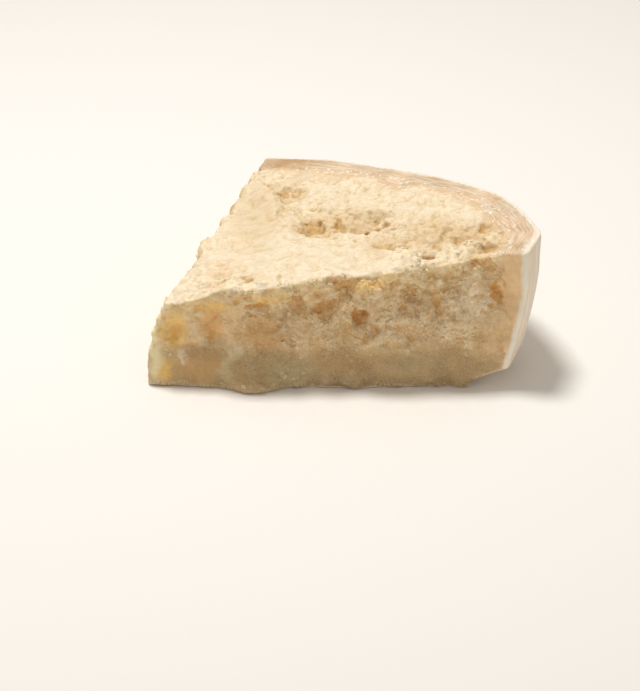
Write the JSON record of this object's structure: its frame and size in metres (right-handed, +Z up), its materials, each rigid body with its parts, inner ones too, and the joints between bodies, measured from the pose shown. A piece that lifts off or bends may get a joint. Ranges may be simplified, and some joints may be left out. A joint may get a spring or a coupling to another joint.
{
  "type": "parmesan chunk",
  "caption": "Wedge of hard aged cheese split from a large wheel, with broken faces, smooth knife-scored bands and a curved rind, lying flat.",
  "frame": {"origin": "middle of the box, on the surface that the chunk lies on", "axes": "+X along the front face from the tip to the rind, +Y back from the front face towards the rear corner of the rind, +Z up"},
  "size_m": [0.2158, 0.2116, 0.0822],
  "materials": {
    "parmesan_cheese": "crumbly pale straw-coloured hard cheese with ochre hollows, smoother tan bands beside the rind and a dry beige rind"
  },
  "bodies": {
    "root": {"parmesan_chunk": "parmesan_cheese"}
  },
  "joints": []
}
